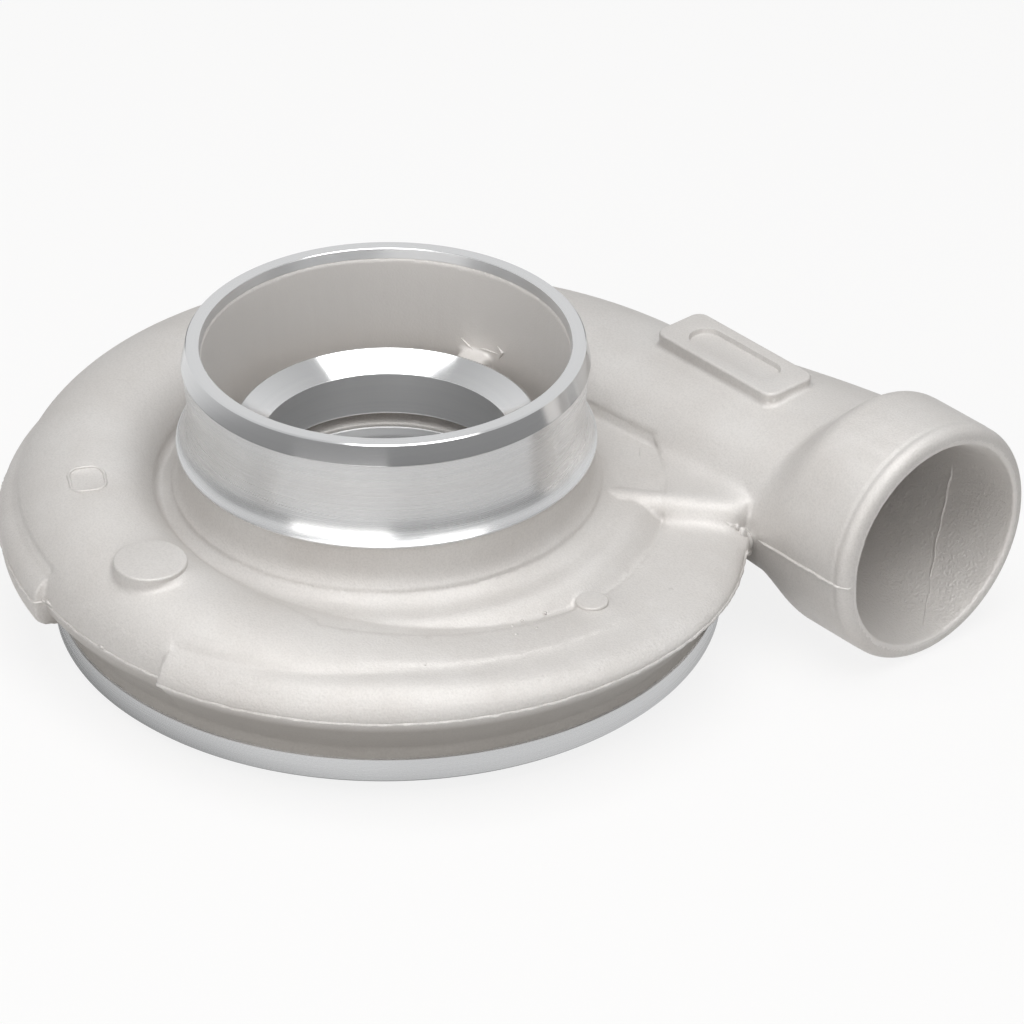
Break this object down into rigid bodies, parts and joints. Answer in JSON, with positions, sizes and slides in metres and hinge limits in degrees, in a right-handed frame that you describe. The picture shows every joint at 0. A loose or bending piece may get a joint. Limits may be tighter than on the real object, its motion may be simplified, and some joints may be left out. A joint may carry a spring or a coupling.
{
  "type": "turbo compressor housing",
  "caption": "Cast scroll housing for a turbo compressor, with a turned hose inlet, a ported inducer ring on struts, an oval-to-round outlet pipe and a turned base flange.",
  "frame": {"origin": "on the wheel axis, in the plane of the machined base face", "axes": "+Z along the wheel axis, up and out of the inlet; +X along the outlet pipe, out of its mouth; +Y towards the side of the scroll that the pipe leaves"},
  "size_m": [0.2572, 0.2796, 0.1054],
  "materials": {
    "cast_aluminium": "sand-cast skin, turned bright at the inlet, the inducer ring and the base"
  },
  "bodies": {
    "root": {"compressor_housing": "cast_aluminium"}
  },
  "joints": []
}
